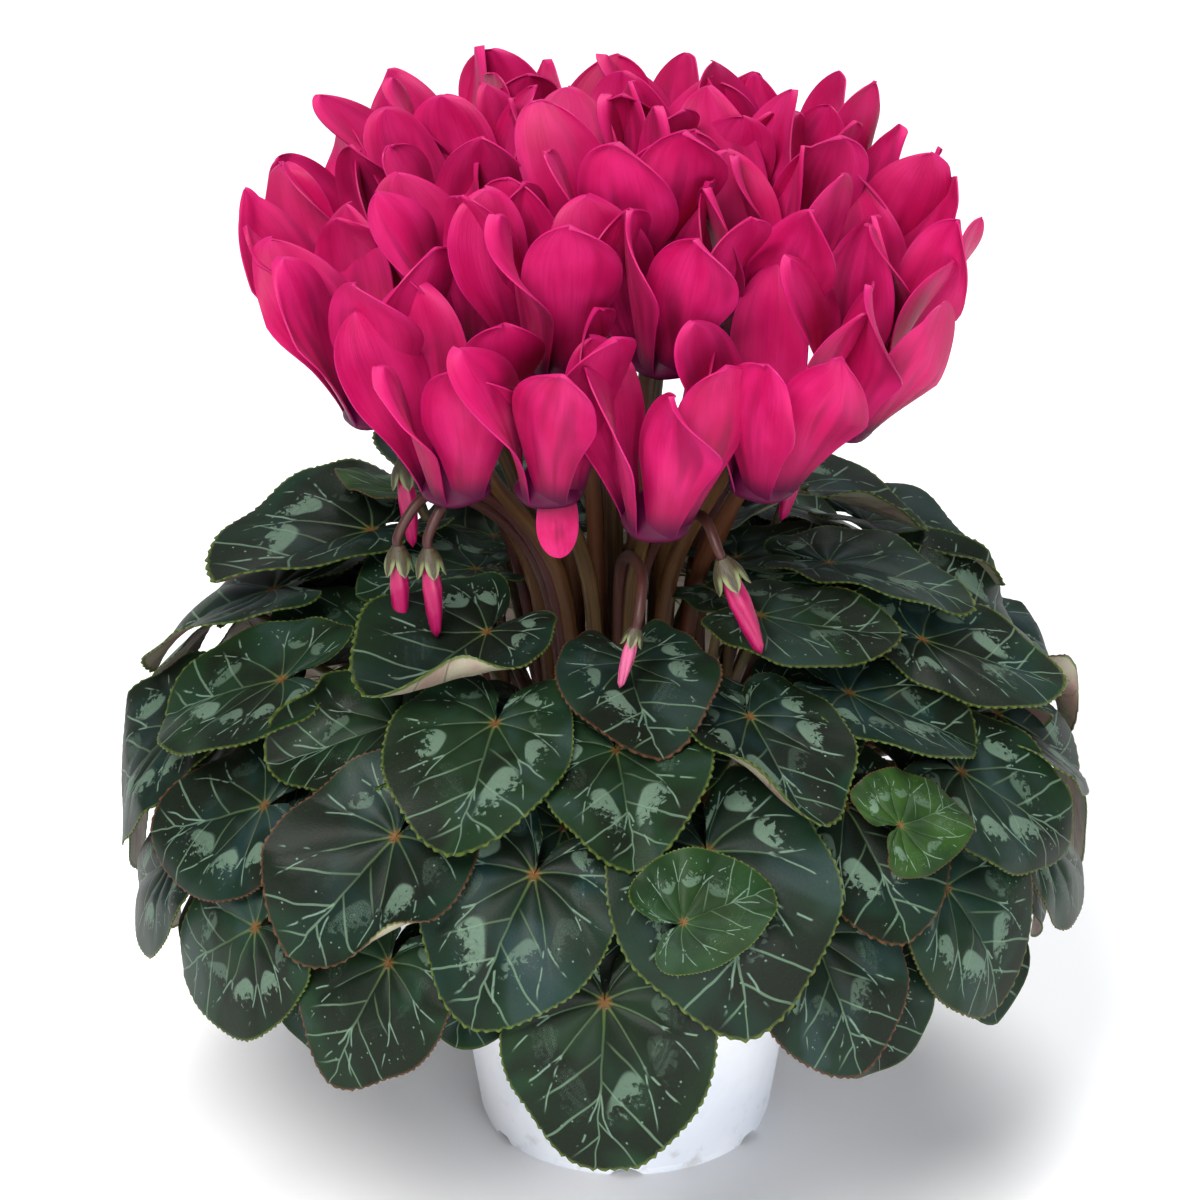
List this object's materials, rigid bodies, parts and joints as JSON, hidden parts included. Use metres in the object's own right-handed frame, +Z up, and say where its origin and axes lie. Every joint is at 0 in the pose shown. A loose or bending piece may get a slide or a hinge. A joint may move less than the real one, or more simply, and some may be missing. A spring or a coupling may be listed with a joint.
{
  "type": "potted cyclamen",
  "caption": "Florist's cyclamen in a tapered white pot: a dome of heart-shaped silver-marked leaves under a dense crown of swept-back magenta blooms.",
  "frame": {"origin": "middle of the pot's underside, on the surface that it stands on", "axes": "+Z up; the side seen in the picture faces -Y, with +X to its right"},
  "size_m": [0.2972, 0.3005, 0.3345],
  "materials": {
    "pot_plastic": "smooth, slightly satin",
    "potting_mix": "coarse, matte",
    "stem_tissue": "soft satin",
    "leaf_tissue": "waxy, silver-marked",
    "petal_tissue": "velvety"
  },
  "bodies": {
    "root": {"pot": "pot_plastic", "soil": "potting_mix", "tuber_and_stems": "stem_tissue", "bloom_01": "petal_tissue", "bloom_02": "petal_tissue", "bloom_03": "petal_tissue", "bloom_04": "petal_tissue", "bloom_05": "petal_tissue", "bloom_06": "petal_tissue", "bloom_07": "petal_tissue", "bloom_08": "petal_tissue", "bloom_09": "petal_tissue", "bloom_10": "petal_tissue", "bloom_11": "petal_tissue", "bloom_12": "petal_tissue", "bloom_13": "petal_tissue", "bloom_14": "petal_tissue", "bloom_15": "petal_tissue", "bloom_16": "petal_tissue", "bloom_17": "petal_tissue", "bloom_18": "petal_tissue", "bloom_19": "petal_tissue", "bloom_20": "petal_tissue", "bloom_21": "petal_tissue", "bloom_22": "petal_tissue", "bloom_23": "petal_tissue", "bloom_24": "petal_tissue", "bud_1": "petal_tissue", "bud_2": "petal_tissue", "bud_3": "petal_tissue", "bud_4": "petal_tissue", "bud_5": "petal_tissue", "bud_6": "petal_tissue", "leaves_outer_01": "leaf_tissue", "leaves_outer_02": "leaf_tissue", "leaves_outer_03": "leaf_tissue", "leaves_outer_04": "leaf_tissue", "leaves_outer_05": "leaf_tissue", "leaves_outer_06": "leaf_tissue", "leaves_outer_07": "leaf_tissue", "leaves_outer_08": "leaf_tissue", "leaves_outer_09": "leaf_tissue", "leaves_outer_10": "leaf_tissue", "leaves_outer_11": "leaf_tissue", "leaves_outer_12": "leaf_tissue", "leaves_outer_13": "leaf_tissue", "leaves_outer_14": "leaf_tissue", "leaves_outer_15": "leaf_tissue", "leaves_inner_01": "leaf_tissue", "leaves_inner_02": "leaf_tissue", "leaves_inner_03": "leaf_tissue", "leaves_inner_04": "leaf_tissue", "leaves_inner_05": "leaf_tissue", "leaves_inner_06": "leaf_tissue", "leaves_inner_07": "leaf_tissue", "leaves_inner_08": "leaf_tissue"}
  },
  "joints": []
}
